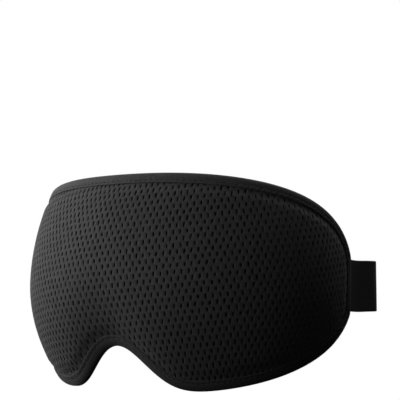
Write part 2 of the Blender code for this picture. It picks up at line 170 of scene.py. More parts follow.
def top_edge(u):
    n, m = TOP_POWERS
    share = np.clip(np.abs(u) / TOP_REACH, 0, 1)
    return TOP_HEIGHT * (1 - share**n) ** (1 / m)


def low_edge(u):
    n, m = LOW_POWERS
    share = np.clip(np.abs(u) / LOW_REACH, 0, 1)
    notch = NOTCH_DEPTH * np.exp(-((np.abs(u) / NOTCH_WIDTH) ** NOTCH_POWER))
    return notch - LOW_DEPTH * (1 - share**n) ** (1 / m)


def outline(columns, end_steps):
    """Stations round the edge, anticlockwise seen from the outside: (u, z) rows."""
    x = np.linspace(-1, 1, columns + 1)
    u = END_U * (0.62 * x + 0.38 * np.sin(pi / 2 * x))
    end_z = np.linspace(low_edge(END_U), top_edge(END_U), end_steps + 1)[1:-1]
    right = [(END_U, z) for z in end_z]
    left = [(-END_U, z) for z in end_z[::-1]]
    low = list(zip(u, low_edge(u)))
    top = list(zip(u[::-1], top_edge(u[::-1])))
    return np.array(low + right + top + left)


def inward(points):
    along = np.roll(points, -1, axis=0) - np.roll(points, 1, axis=0)
    return unit(np.stack([-along[:, 1], along[:, 0]], axis=1))


FINE_OUTLINE = outline(600, 30)


def nearest_edge(u, z):
    """For each point, the number of the nearest outline station and its distance."""
    points = np.stack([np.ravel(u), np.ravel(z)], axis=1)
    which, distance = [], []
    for start in range(0, len(points), 4000):
        gaps = points[start : start + 4000, None, :] - FINE_OUTLINE[None, :, :]
        squares = (gaps**2).sum(axis=2)
        which.append(squares.argmin(axis=1))
        distance.append(np.sqrt(squares.min(axis=1)))
    return np.concatenate(which), np.concatenate(distance)


def edge_inset(u, z):
    """Distance in from the edge, on the pattern."""
    return nearest_edge(u, z)[1].reshape(np.shape(u))


def outside(u, z):
    """The cover's outer surface, as height above the wrap."""
    top, low = top_edge(u), low_edge(u)
    across = np.clip((z - (top + low) / 2) / ((top - low) / 2), -1, 1)
    along = np.clip(np.abs(u) / END_U, 0, 1)
    setback = np.where(z > 0, TOP_SETBACK, LOW_SETBACK) * (z / SETBACK_SPAN) ** 2
    dip = BORDER_DIP * (1 - smooth((edge_inset(u, z) - PINCH) / (4 * MM)))
    return BULGE * (1 - across**2) * (1 - along**4) - setback * (1 - along**6) - dip


def recess_inset(u, z):
    """How far inside the goggle-shaped recess a point lies."""
    ridge = RIDGE_HEIGHT * np.exp(-((u / RIDGE_WIDTH) ** 2))
    inset = soft_min(RECESS_TOP - z, z - RECESS_LOW - ridge, 6 * MM)
    return soft_min(inset, RECESS_SIDE - np.abs(u), 12 * MM)


def cup_inset(u, z):
    """How far inside an eye cup a point lies. The cup's nose side slants outwards below."""
    slant = CUP_SLANT * np.clip(CUP_SLANT_FROM - z, 0, None)
    inset = soft_min(CUP_TOP - z, z - CUP_LOW, CUP_ROUND)
    inset = soft_min(inset, np.abs(u) - CUP_INNER - slant, CUP_ROUND)
    return soft_min(inset, CUP_OUTER - np.abs(u), CUP_ROUND)


def foam_thickness(u, z):
    lower = smooth((-z - 5 * MM) / (25 * MM))
    nose = np.exp(-((u / RIDGE_WIDTH) ** 2)) * smooth(-z / (10 * MM))
    pad = PAD_TOP + (PAD_LOW - PAD_TOP) * lower
    roll = ROLL_TOP + (ROLL_LOW - ROLL_TOP) * lower + ROLL_NOSE * nose
    rise = np.sin(pi / 2 * np.clip((edge_inset(u, z) - PINCH) / roll, 0, 1))
    thick = FOAM_EDGE + (pad - FOAM_EDGE) * rise
    thick = thick + (FOAM_RECESS - thick) * smooth(recess_inset(u, z) / RECESS_WALL)
    return thick + (FOAM_CUP - thick) * smooth(cup_inset(u, z) / CUP_WALL)


def beneath(u, z, depth):
    """Height of a layer this deep below the cover, with the layers pressed together at the edge."""
    loose = smooth((edge_inset(u, z) - 4.5 * MM) / (4.5 * MM))
    return outside(u, z) - depth * (PRESSED + (1 - PRESSED) * loose)


MIDDLE = np.zeros(1)
FACE_DEPTH = FOAM_FRONT + foam_thickness(MIDDLE, MIDDLE) + GAP + LINING
FACE_SHIFT = float(beneath(MIDDLE, MIDDLE, FACE_DEPTH)[0])


def to_world(u, z, out):
    """The point at height `out` above the wrap at (u, z)."""
    x, y, turn = wrap_at(u)
    return np.stack([x + np.sin(turn) * out, y - np.cos(turn) * out + FACE_SHIFT, z + 0 * u], axis=-1)


# ---- meshes


def add_to_scene(name, data):
    thing = bpy.data.objects.new(name, data)
    bpy.context.scene.collection.objects.link(thing)
    return thing


def new_piece(name, vertices, faces, corner_uv, material):
    """A smooth-shaded mesh of quads. corner_uv has a (u, v) in millimetres for each face corner."""
    mesh = bpy.data.meshes.new(name)
    mesh.from_pydata(vertices.tolist(), [], faces.tolist())
    layer = mesh.uv_layers.new(name="cloth")
    layer.uv.foreach_set("vector", (np.asarray(corner_uv, np.float32) / MM).ravel())
    mesh.validate()
    mesh.shade_smooth()
    mesh.materials.append(material)
    return add_to_scene(name, mesh)


def grid_faces(rows, columns, close_rows, close_columns, first=0):
    """Quads over a grid of vertices, and the row and column steps of each corner."""
    counts = (rows if close_rows else rows - 1, columns if close_columns else columns - 1)
    i, j = np.indices(counts).reshape(2, -1)
    steps_i = np.stack([i, i, i + 1, i + 1], axis=1)
    steps_j = np.stack([j, j + 1, j + 1, j], axis=1)
    faces = first + (steps_i % rows) * columns + steps_j % columns
    return faces, steps_i, steps_j


def grid_piece(name, points, across, along, material, close_rows=False, close_columns=False):
    """A piece from points[row, column]. across and along are the UVs of the rows and columns; where
    the grid is closed they have one more value than it has rows or columns."""
    rows, columns = points.shape[:2]
    faces, i, j = grid_faces(rows, columns, close_rows, close_columns)
    uv = np.stack([np.asarray(along)[j], np.asarray(across)[i]], axis=2)
    return new_piece(name, points.reshape(-1, 3), faces, uv, material)


@contextmanager
def edited(piece):
    """Opens a piece's mesh for changes, then turns every face outwards and shades it smooth."""
    shape = bmesh.new()
    shape.from_mesh(piece.data)
    yield shape
    bmesh.ops.recalc_face_normals(shape, faces=shape.faces)
    shape.to_mesh(piece.data)
    shape.free()
    piece.data.shade_smooth()


def tidy(piece):
    """Welds doubled vertices and turns every face outwards."""
    with edited(piece) as shape:
        bmesh.ops.remove_doubles(shape, verts=shape.verts, dist=WELD)
    return piece


# ---- materials


class Shading:
    """A node material, with short ways to add and link its nodes."""

    def __init__(self, name, color, roughness, **sockets):
        self.material = bpy.data.materials.new(name)
        self.material.use_nodes = True
        self.tree = self.material.node_tree
        self.shader = self.tree.nodes["Principled BSDF"]
        self.color = color
        self.shader.inputs["Base Color"].default_value = (*color, 1)
        self.shader.inputs["Roughness"].default_value = roughness
        for socket, value in sockets.items():
            self.shader.inputs[socket.replace("_", " ")].default_value = value
        cloth = self.node("UVMap")
        cloth.uv_map = "cloth"
        self.cloth = cloth.outputs["UV"]
        self.place = self.node("TexCoord").outputs["Object"]

    def put(self, socket, value):
        if isinstance(value, bpy.types.NodeSocket):
            self.tree.links.new(value, socket)
        else:
            socket.default_value = value

    def node(self, kind, **inputs):
        node = self.tree.nodes.new("ShaderNode" + kind)
        for name, value in inputs.items():
            self.put(node.inputs[name], value)
        return node

    def math(self, operation, *values, clamp=False):
        node = self.node("Math")
        node.operation = operation
        node.use_clamp = clamp
        for socket, value in zip(node.inputs, values):
            self.put(socket, value)
        return node.outputs[0]

    def drive(self, socket, value):
        self.put(self.shader.inputs[socket], value)

    def times(self, a, b, more=None, clamp=False):
        """a times b, plus `more` where it is given."""
        if more is None:
            return self.math("MULTIPLY", a, b, clamp=clamp)
        return self.math("MULTIPLY_ADD", a, b, more, clamp=clamp)

    def split(self, vector):
        node = self.node("SeparateXYZ", Vector=vector)
        return node.outputs[0], node.outputs[1]

    def noise(self, vector, scale, detail=3.0, roughness=0.55):
        node = self.node("TexNoise", Vector=vector, Scale=scale, Detail=detail, Roughness=roughness)
        return node.outputs["Fac"]

    def cells(self, vector, scale):
        return self.node("TexVoronoi", Vector=vector, Scale=scale).outputs["Distance"]

    def spread(self, value, low, high, to_low, to_high):
        node = self.node("MapRange")
        for socket, number in zip(node.inputs, (value, low, high, to_low, to_high)):
            self.put(socket, number)
        return node.outputs[0]

    def wave(self, value, period, shift=0.0):
        """0 to 1 and back over each period of value."""
        turn = self.times(value, 2 * pi / period, shift)
        return self.times(self.math("SINE", turn), 0.5, 0.5)

    def mix(self, share, a, b):
        node = self.node("Mix")
        node.data_type = "RGBA"
        self.put(node.inputs["Factor"], share)
        for socket, value in zip((node.inputs[6], node.inputs[7]), (a, b)):
            self.put(socket, (*value, 1) if isinstance(value, tuple) else value)
        return node.outputs[2]

    def tint(self, share, dark, light):
        """Base colour between `dark` and `light` times the material's own."""
        a = tuple(c * dark for c in self.color)
        b = tuple(c * light for c in self.color)
        color = self.mix(share, a, b)
        self.drive("Base Color", color)
        return color

    def bump(self, height, distance, strength=1.0):
        node = self.node("Bump", Strength=strength, Distance=distance, Height=height)
        self.drive("Normal", node.outputs[0])


def perforated_knit():
    color = (0.024, 0.024, 0.025)
    look = Shading("perforated_knit_look", color, 0.8, Sheen_Weight=0.12, Sheen_Roughness=0.5)
    u, z = look.split(look.cloth)
    sway = look.times(look.wave(z, 2 * ROW_PITCH / MM), 0.9)
    wales = look.wave(look.math("ADD", u, sway), 0.52)
    courses = look.wave(z, 0.42)
    yarn = look.times(wales, courses)
    fuzz = look.noise(look.place, 1500, 4)
    patches = look.noise(look.place, 38, 3)
    # The colour follows the yarn pattern, fuzz and patches. It is lighter on the raised loops: partly
    # the knit's own tone and partly a painted sheen.
    share = look.times(yarn, 0.45, look.times(fuzz, 0.35))
    share = look.times(patches, 0.4, share, clamp=True)
    look.tint(share, 0.45, 1.55)
    look.drive("Roughness", look.spread(fuzz, 0.3, 0.7, 0.72, 0.9))
    look.bump(look.times(fuzz, 0.5, yarn), 0.09 * MM, 0.8)
    return look.material


def blackout_cloth():
    look = Shading("blackout_cloth_look", (0.004, 0.004, 0.004), 0.95)
    u, z = look.split(look.cloth)
    weave = look.times(look.wave(u, 0.4), look.wave(z, 0.4))
    look.tint(weave, 0.6, 1.3)
    look.bump(weave, 0.05 * MM)
    return look.material


def charcoal_foam():
    look = Shading("charcoal_foam_look", (0.032, 0.032, 0.034), 0.95)
    pores = look.cells(look.place, 1600)
    look.tint(look.times(look.noise(look.place, 60), 0.6, pores, clamp=True), 0.5, 1.3)
    look.bump(pores, 0.25 * MM)
    return look.material


# The blue line, a painted glow: its bluntness over the nose, its slope beyond and its highest point, in
# millimetres.
LINE_BLUNT, LINE_SLOPE, LINE_TOP = 3.3, 0.785, -13.3


def face_knit():
    color = (0.030, 0.030, 0.031)
    look = Shading("face_knit_look", color, 0.75, Sheen_Weight=0.25, Sheen_Roughness=0.45)
    u, z = look.split(look.cloth)
    wales = look.wave(look.times(look.wave(z, 0.7), 0.18, u), 0.36)
    knit = look.times(wales, look.wave(z, 0.35))
    fuzz = look.noise(look.place, 1300, 4)
    patches = look.noise(look.place, 22, 2)
    share = look.times(knit, 0.25, look.times(fuzz, 0.3))
    share = look.times(patches, 0.45, share, clamp=True)
    plain = look.tint(share, 0.75, 1.3)
    look.bump(look.times(fuzz, 0.4, knit), 0.05 * MM, 0.6)
    # The pale blue line over the nose, a painted glow in the base colour: its height at u, and the
    # distance from it.
    root = look.math("SQRT", look.times(u, u, LINE_BLUNT**2))
    crest = look.times(root, -LINE_SLOPE, LINE_SLOPE * LINE_BLUNT + LINE_TOP)
    distance = look.times(look.math("ABSOLUTE", look.math("SUBTRACT", z, crest)), 0.8)
    fade = look.spread(look.math("ABSOLUTE", u), 34.0, 12.0, 0.0, 1.0)
    # The painted glow's pale core along the line, fading out towards the line's ends.
    glow_core = look.times(look.spread(distance, 0.75, 0.15, 0.0, 1.0), fade)
    # Round the core a painted blue glow, falling off with distance from the line.
    painted_glow = look.math("POWER", look.spread(distance, 3.6, 0.2, 0.0, 1.0), 2.2)
    painted_glow = look.times(painted_glow, look.times(fade, 0.5))
    blue = look.mix(painted_glow, plain, (0.02, 0.16, 0.5))
    line = look.mix(glow_core, blue, (0.62, 0.85, 1.0))
    look.drive("Base Color", line)
    return look.material


def binding_tape():
    color = (0.024, 0.024, 0.025)
    look = Shading("binding_tape_look", color, 0.75, Sheen_Weight=0.12, Sheen_Roughness=0.4)
    along, across = look.split(look.cloth)
    ribs = look.wave(along, 0.55)
    picks = look.wave(across, 0.38)
    weave = look.times(ribs, look.times(picks, 0.5, 0.5))
    fuzz = look.noise(look.place, 1100, 3)
    share = look.times(weave, 0.4, look.times(fuzz, 0.6), clamp=True)
    look.tint(share, 0.6, 1.4)
    look.bump(look.times(fuzz, 0.5, weave), 0.07 * MM, 0.8)
    return look.material


def sewing_thread():
    look = Shading("sewing_thread_look", (0.024, 0.024, 0.025), 0.5, Sheen_Weight=0.1)
    along, across = look.split(look.cloth)
    ply = look.wave(look.math("ADD", along, across), 0.35)
    look.tint(ply, 0.5, 1.5)
    look.bump(ply, 0.06 * MM)
    return look.material


def elastic_webbing():
    color = (0.016, 0.016, 0.017)
    look = Shading("elastic_webbing_look", color, 0.7, Sheen_Weight=0.08, Sheen_Roughness=0.4)
    along, up = look.split(look.cloth)
    ribs = look.wave(up, RIB_PITCH / MM / 2)
    picks = look.wave(look.times(look.wave(up, RIB_PITCH / MM), 0.2, along), 0.6)
    weave = look.times(picks, 0.6, look.times(ribs, 0.4))
    fuzz = look.noise(look.place, 1300, 3)
    share = look.times(weave, 0.6, look.times(fuzz, 0.4), clamp=True)
    look.tint(share, 0.5, 1.5)
    look.bump(look.times(fuzz, 0.3, weave), 0.1 * MM)
    return look.material


def moulded_plastic():
    look = Shading("moulded_plastic_look", (0.010, 0.010, 0.011), 0.38, Specular_IOR_Level=0.45)
    grain = look.noise(look.place, 2600, 2)
    scuffs = look.noise(look.place, 160, 5, 0.7)
    look.tint(scuffs, 0.7, 1.4)
    look.drive("Roughness", look.spread(scuffs, 0.35, 0.7, 0.3, 0.5))
    look.bump(grain, 0.02 * MM, 0.6)
    return look.material


# ---- the perforated cover

# A cell's corners, anticlockwise from the low left, in half pitches along and quarter rows up.
CORNERS_ALONG = (-1, 0, 1, 1, 1, 1, 1, 0, -1, -1, -1, -1)
CORNERS_UP = (-2, -2, -2, -1, 0, 1, 2, 2, 2, 1, 0, -1)
CELL_ROWS, CELL_COLUMNS = range(-28, 25), range(-46, 47)
CELL_LEAST_INSET, CORNER_LEAST_INSET = 1.8 * MM, 1.3 * MM
# Each slot strays by about this much along and up, and in its lean; its size is in these ranges.
STRAY_U, STRAY_Z, STRAY_LEAN, SLOT_LEAN = 0.07, 0.09, 0.05, 0.06
WIDTH_RANGE, LENGTH_RANGE = (0.78, 1.2), (0.82, 1.1)
# A slot's wall, edge and rim: (growth, height) in millimetres. Slots grow less lengthwise.
SLOT_RINGS, LENGTHWISE = ((-0.04, -0.75), (0.04, -0.03), (0.36, 0.13)), 0.75
RIPPLE, BUNCH = 0.03, 0.06
CORNER_ANGLES = np.radians([225, 270, 315, 335, 0, 25, 45, 90, 135, 155, 180, 205])


def on_bias(a, b):
    """The pattern point at distance a along the knit's rows and b up its columns."""
    lean = LEAN * np.tanh(a / LEAN_SPAN)
    u = a - CLOSER * (a - CLOSER_FROM * np.tanh(a / CLOSER_FROM)) - lean * b
    return u, b + ROW_SLOPE * a + ROW_BOW * a * np.abs(a)


def keep_in(u, z, least):
    """Moves points that are less than `least` inside the edge to that inset."""
    which, distance = nearest_edge(u, z)
    base, normal = FINE_OUTLINE[which], inward(FINE_OUTLINE)[which]
    depth = ((np.stack([u, z], axis=1) - base) * normal).sum(axis=1)
    moved = base + normal * least
    short = np.where(depth > 0, distance, -distance) < least
    return np.where(short, moved[:, 0], u), np.where(short, moved[:, 1], z)


def build_outer_mesh(material):
    """Staggered rows of slots, each in a cell of twelve corners shared with its neighbours. Every
    slot has a wall down into the knit, an edge, and a raised rim."""
    cells = np.array([(row, 2 * k + row % 2) for row in CELL_ROWS for k in CELL_COLUMNS])
    centre_u, centre_z = on_bias(cells[:, 1] * HOLE_PITCH / 2, cells[:, 0] * ROW_PITCH)
    inside = (centre_z < top_edge(centre_u)) & (centre_z > low_edge(centre_u))
    inside &= np.abs(centre_u) < END_U
    cells = cells[inside]
    cells = cells[edge_inset(centre_u[inside], centre_z[inside]) > CELL_LEAST_INSET]
    count = len(cells)
    numbers, outer = {}, []
    for row, column in cells:
        keys = [(4 * row + up, column + along) for along, up in zip(CORNERS_ALONG, CORNERS_UP)]
        outer.append([numbers.setdefault(key, len(numbers)) for key in keys])
    outer, shared = np.array(outer), np.array(list(numbers), float)
    shared_u, shared_z = on_bias(shared[:, 1] * HOLE_PITCH / 2, shared[:, 0] * ROW_PITCH / 4)
    centre_u, centre_z = on_bias(cells[:, 1] * HOLE_PITCH / 2, cells[:, 0] * ROW_PITCH)
    centre_u = centre_u + RANDOM.normal(0, STRAY_U, count) * MM
    centre_z = centre_z + RANDOM.normal(0, STRAY_Z, count) * MM
    wide = HOLE_HALF_WIDTH * RANDOM.uniform(*WIDTH_RANGE, count)
    long = HOLE_HALF_LENGTH * RANDOM.uniform(*LENGTH_RANGE, count)
    lean = np.where(cells[:, 0] % 2 == 0, 1, -1) * SLOT_LEAN + RANDOM.normal(0, STRAY_LEAN, count)
    rings = []
    for extra, height in SLOT_RINGS:
        a = wide[:, None] + extra * MM
        b = long[:, None] + extra * LENGTHWISE * MM
        x, y = a * np.cos(CORNER_ANGLES), b * np.sin(CORNER_ANGLES)
        x = x + y * lean[:, None]
        rings.append(((centre_u[:, None] + x).ravel(), (centre_z[:, None] + y).ravel(), height * MM))
    u = np.concatenate([shared_u] + [r[0] for r in rings])
    z = np.concatenate([shared_z] + [r[1] for r in rings])
    u, z = keep_in(u, z, CORNER_LEAST_INSET)
    # Between slots of one row the yarns bunch up; above and below a slot they spread flat.
    ripple = RIPPLE + BUNCH * (shared[:, 0] % 4 == 0)
    height = np.concatenate([ripple * MM] + [np.full(12 * count, r[2]) for r in rings])
    points = to_world(u, z, outside(u, z) + height)
    first = len(shared)
    ring = first + np.arange(12 * count).reshape(-1, 12)
    blocks = [outer] + [ring + n * 12 * count for n in range(3)]
    quads = []
    for a, b in ((blocks[0], blocks[3]), (blocks[3], blocks[2]), (blocks[2], blocks[1])):
        sides = [a, np.roll(a, -1, axis=1), np.roll(b, -1, axis=1), b]
        quads.append(np.stack(sides, axis=2).reshape(-1, 4))
    quads = np.concatenate(quads)
    uv = np.stack([u[quads], z[quads]], axis=2)
    return new_piece("outer_mesh", points, quads, uv, material)


# ---- the inner layers

CLOTH_FRAMES, CLOTH_QUALITY, CLOTH_PRESSURE, CLOTH_MASS, CLOTH_CAP = 20, 6, 4.0, 0.3, 0.9 * MM
CLOTH_EVENED = 6
# The low and top stations have to fall on one another on the spine, also when every fourth is taken.
FINE_COLUMNS, FINE_END_STEPS = 232, 12
SOFT_FROM, SOFT_SPAN, SOFT_ROUNDS, FIRM_RINGS = 96 * MM, 12 * MM, 50, 5
EDGE_INSETS = (1.0, 2.4, 4.0, 5.8, 6.9, 8.1, 9.4, 10.8, 12.4, 14.0)


def pattern_rings(columns, end_steps, inner_rings):
    """Rings of (u, z) from near the edge inwards, the last on the spine between the cups."""
    edge = outline(columns, end_steps)
    normal = inward(edge)
    rings = [edge + normal * inset * MM for inset in EDGE_INSETS]
    spine_u = 0.82 * edge[:, 0]
    spine = np.stack([spine_u, (top_edge(spine_u) + low_edge(spine_u)) / 2], axis=1)
    last = rings[-1]
    return np.array(rings + [last + (spine - last) * s for s in np.linspace(0, 1, inner_rings + 1)[1:]])


def build_layer(name, rings, near, far, material):
    """A closed layer over the pattern, between two surfaces."""
    points = np.concatenate([near[::-1], far])
    rows, columns = points.shape[:2]
    faces, _, _ = grid_faces(rows, columns, False, True)
    flat = np.concatenate([rings[::-1], rings]).reshape(-1, 2)
    return tidy(new_piece(name, points.reshape(-1, 3), faces, flat[faces], material))


def soften_ends(points, u):
    """Rounds off the pad's creases at the mask's ends, where the edge turns two corners."""
    share = smooth((np.abs(u) - SOFT_FROM) / SOFT_SPAN)[..., None]
    share[:FIRM_RINGS] = 0
    for _ in range(SOFT_ROUNDS):
        around = evened(points, 1)
        around[1:-1] = (around[:-2] + 2 * around[1:-1] + around[2:]) / 4
        points = points + share * (around - points)
    return points


def between(values, steps, axis):
    """Values at fractional steps along an axis, linearly between the given ones."""
    numbers = np.arange(values.shape[axis])
    return np.apply_along_axis(lambda line: np.interp(steps, numbers, line), axis, values)


def settle_pad(rings, front, rear):
    """Moves of the pad's face side when the lining is run as cloth over it, pressed from inside.

    A coarser copy of the pad is held where it is bonded to the cover and pinched at the edge. The
    moves are capped, spread back over all of the rings' points and smoothed.
    """
    row_step, column_step = 2, 4
    coarse, near, far = (grid[::row_step, ::column_step] for grid in (rings, front, rear))
    u, z = coarse[..., 0], coarse[..., 1]
    start = np.concatenate([near[::-1], far])
    rows, columns = start.shape[:2]
    faces, _, _ = grid_faces(rows, columns, False, True)
    start = start.reshape(-1, 3)
    _, kept, merged = np.unique(np.round(start / WELD), axis=0, return_index=True, return_inverse=True)
    merged = merged.ravel()
    points = start[kept]
    corners = [list(dict.fromkeys(face)) for face in merged[faces].tolist()]
    mesh = bpy.data.meshes.new("pad_cloth")
    mesh.from_pydata(points.tolist(), [], [face for face in corners if len(face) > 2])
    pad = add_to_scene("pad_cloth", mesh)
    inset = np.concatenate([0 * u[::-1], edge_inset(u, z)]).ravel()[kept]
    hold = pad.vertex_groups.new(name="held")
    hold.add([int(n) for n in np.flatnonzero(inset < PINCH + 1 * MM)], 1.0, "REPLACE")
    cloth = pad.modifiers.new("cloth", "CLOTH")
    settings = cloth.settings
    settings.quality = CLOTH_QUALITY
    settings.mass = CLOTH_MASS
    settings.use_pressure = True
    settings.uniform_pressure_force = CLOTH_PRESSURE
    settings.vertex_group_mass = "held"
    settings.effector_weights.gravity = 0
    cloth.collision_settings.use_collision = False
    cloth.point_cache.frame_start, cloth.point_cache.frame_end = 1, CLOTH_FRAMES
    scene = bpy.context.scene
    for number in range(1, CLOTH_FRAMES + 1):
        scene.frame_set(number)
    done = pad.evaluated_get(bpy.context.evaluated_depsgraph_get()).data
    moved = np.zeros(3 * len(points))
    done.vertices.foreach_get("co", moved)
    scene.frame_set(1)
    bpy.data.objects.remove(pad)
    moves = moved.reshape(-1, 3) - points
    reach = np.linalg.norm(moves, axis=1)[:, None] + 1e-9
    moves = moves * (CLOTH_CAP * np.tanh(reach / CLOTH_CAP) / reach)
    coarse = moves[merged].reshape(rows, columns, 3)[rows // 2 :]
    coarse = np.concatenate([coarse, coarse[:, :1]], axis=1)
    fine_rows, fine_columns = rings.shape[:2]
    at_row = np.arange(fine_rows) / row_step
    at_column = np.arange(fine_columns) / column_step
    moves = between(between(coarse, at_column, 1), at_row, 0)
    # The last ring runs along the spine and back, so each of its points has a partner there.
    partner = (2 * FINE_COLUMNS + FINE_END_STEPS - np.arange(fine_columns)) % fine_columns
    for _ in range(CLOTH_EVENED):
        moves = evened(moves, 1)
        beyond = np.concatenate([moves[2:], moves[-2:-1, partner]])
        moves[1:] = (moves[:-1] + 2 * moves[1:] + beyond) / 4
        moves[-1] = (moves[-1] + moves[-1, partner]) / 2
    return moves


def build_inner_layers(cloth, foam, knit):
    plain = pattern_rings(120, 8, 10)
    u, z = plain[..., 0], plain[..., 1]
    near, far = (to_world(u, z, beneath(u, z, depth)) for depth in (LINER_FRONT, LINER_FRONT + LINER))
    liner = build_layer("blackout_sheet", plain, near, far, cloth)
    fine = pattern_rings(FINE_COLUMNS, FINE_END_STEPS, 25)
    u, z = fine[..., 0], fine[..., 1]
    foam_rear = FOAM_FRONT + foam_thickness(u, z)
    front = to_world(u, z, beneath(u, z, FOAM_FRONT))
    rear = [to_world(u, z, beneath(u, z, foam_rear + more)) for more in (0, GAP, GAP + LINING)]
    rear = [soften_ends(surface, u) for surface in rear]
    moves = settle_pad(fine, front, rear[0])
    rear = [surface + moves for surface in rear]
    pad = build_layer("foam_pad", fine, front, rear[0], foam)
    lining = build_layer("knit_lining", fine, rear[1], rear[2], knit)
    return liner, pad, lining


# ---- the edge tape and its seam


def perimeter(spacing):
    """Evenly spaced stations round the edge: (u, z), inward directions and the distance along."""
    closed = np.concatenate([FINE_OUTLINE, FINE_OUTLINE[:1]])
    reach = distances(closed)
    count = int(round(reach[-1] / spacing))
    along = np.linspace(0, reach[-1], count + 1)
    points = on_path(along[:-1], reach, closed)
    for _ in range(3):
        points = evened(points)
    return points, inward(points), along


# The folded tape's outside, from its inner lip to the mask's edge: (inset, height) in millimetres.
FRONT_PROFILE = (
    (4.3, 0.02), (4.75, 0.06), (4.92, 0.22), (4.9, 0.40), (4.7, 0.54), (4.4, 0.60),
    (4.05, 0.58), (3.75, 0.46), (3.5, 0.40), (3.25, 0.46), (2.9, 0.60), (2.3, 0.68),
    (1.6, 0.69), (0.95, 0.62), (0.45, 0.42), (0.12, 0.12),
)
SIDE_SHARES = (0.08, 0.3, 0.5, 0.7, 0.92)
EDGE_DEPTH = PRESSED * EDGE_STACK


# The tape's lip and crown: where each begins inwards of the edge and how long it takes, in millimetres.
LIP, CROWN, CROWN_END = (3.6, 1.0), (0.2, 1.2), (3.0, 0.6)
# How far each stitch and the tape's slow waves move the lip sideways and up, and the crown up.
LIP_ASIDE, LIP_UP, CROWN_UP = (0.07, 0.05), 0.05, (0.035, 0.04)


def build_binding(material):
    points, normal, along = perimeter(STITCH_PITCH / 5)
    stitch = np.cos(2 * pi * along[:-1] / STITCH_PITCH)
    knots = int(round(along[-1] / STITCH_PITCH)) // 3 + 1
    slow = np.interp(along[:-1], np.linspace(0, along[-1], knots), RANDOM.normal(0, 1, knots))
    profile = [(inset, height * MM, 1) for inset, height in FRONT_PROFILE]
    profile += [(0.02, -EDGE_DEPTH * share, 0) for share in SIDE_SHARES]
    profile += [(inset, -EDGE_DEPTH - height * MM, -1) for inset, height in FRONT_PROFILE[::-1]]
    profile += [(0.95, -EDGE_DEPTH, 0), (0.95, 0.0, 0)]
    rows = []
    for inset, height, side in profile:
        lip, crown, end = (smooth((inset - start) / span) for start, span in (LIP, CROWN, CROWN_END))
        crown = crown * (1 - end)
        wobble = (LIP_ASIDE[0] * stitch + LIP_ASIDE[1] * slow) * lip
        u, z = (points + normal * ((inset + wobble) * MM)[:, None]).T
        wave = CROWN_UP[0] * stitch + CROWN_UP[1] * slow
        lift = side * (LIP_UP * stitch * lip + wave * crown) * MM
        rows.append(to_world(u, z, outside(u, z) + height + lift))
    lengths = [0.0]
    loop = profile + profile[:1]
    for (i0, h0, _), (i1, h1, _) in zip(loop, loop[1:]):
        lengths.append(lengths[-1] + float(np.hypot((i1 - i0) * MM, h1 - h0)))
    return tidy(grid_piece("binding", np.array(rows), lengths, along, material, True, True))


STITCH_LIFT, STITCH_SINK, STITCH_SKEW, STITCH_FLAT = 0.66 * MM, 0.26 * MM, 0.05, 0.8


def build_stitches(name, side, material):
    """One short bent bar for each stitch, sunk at both ends into the tape."""
    points, normal, along = perimeter(STITCH_PITCH / 8)
    total = along[-1]
    count = int(round(total / STITCH_PITCH))
    steps, sides = 7, 6
    share = np.linspace(-1, 1, steps)
    radius = STITCH_RADIUS * np.sqrt(np.clip(1 - share**4 * 0.9, 0, 1))
    lift = STITCH_LIFT - STITCH_SINK * share**2
    all_points, all_faces, all_uv = [], [], []
    skew = RANDOM.normal(0, STITCH_SKEW, count) * MM
    closed = np.concatenate([points, points[:1]])
    closed_normal = np.concatenate([normal, normal[:1]])
    for n in range(count):
        middle = (n + 0.5) * total / count
        at = (middle + share * STITCH_LENGTH / 2) % total
        aside = on_path(at, along, closed_normal)
        base = on_path(at, along, closed) + aside * (STITCH_INSET + share[:, None] * skew[n])
        ring = []
        for k in range(sides):
            angle = 2 * pi * k / sides
            u, z = (base + aside * (radius * cos(angle))[:, None]).T
            height = lift + radius * sin(angle) * STITCH_FLAT
            height = height if side > 0 else -EDGE_DEPTH - height
            ring.append(to_world(u, z, outside(u, z) + height))
        all_points.append(np.array(ring))
        faces, i, j = grid_faces(sides, steps, True, False, first=n * sides * steps)
        all_faces.append(faces)
        uv_along = share * STITCH_LENGTH / 2
        uv_across = np.arange(sides + 1) * 0.25 * MM
        all_uv.append(np.stack([uv_along[j], uv_across[i]], axis=2))
    vertices = np.concatenate([ring.reshape(-1, 3) for ring in all_points])
    return tidy(new_piece(name, vertices, np.concatenate(all_faces), np.concatenate(all_uv), material))


# ---- the strap

END_X, END_Y, _ = (float(value) for value in to_world(np.array(END_U), np.array(0.0), np.array(0.0)))
STRAP_X = END_X - STRAP_UNDER
HINGE_Y = END_Y + HINGE_BEYOND
HALF = STRAP_WIDTH / 2
SEWN_END = END_Y - BINDING - 0.6 * MM


def arc(centre, radius, start, end, steps):
    angles = np.linspace(start, end, steps + 1)
    return [(centre[0] + radius * cos(a), centre[1] + radius * sin(a)) for a in angles]


def run_start():
    x, y = STRAP_X, HINGE_Y + BEND_AFTER
    return x - BEND_RADIUS * (1 - cos(BEND_ANGLE)), y + BEND_RADIUS * sin(BEND_ANGLE)


def left_run(distance, height):
    """A point on the left-hand straight run, `height` outside the strap's middle."""
    x, y = run_start()
    along, across = (sin(BEND_ANGLE), cos(BEND_ANGLE)), (-cos(BEND_ANGLE), sin(BEND_ANGLE))
    return (-x + along[0] * distance + across[0] * height, y + along[1] * distance + across[1] * height)


def sewn_to_run():
    """The right-hand strap's plan from its sewn end, which lies on the binding, to its bend's end."""
    x, y = STRAP_X, HINGE_Y + BEND_AFTER
    start = []
    for share in np.linspace(0, 1, 21):
        aside = STRAP_OUT * (1 - float(smooth(share)))
        start.append((STRAP_X + aside, SEWN_END + (HINGE_Y - SEWN_END) * share))
    return start + arc((x - BEND_RADIUS, y), BEND_RADIUS, 0, BEND_ANGLE, 24)


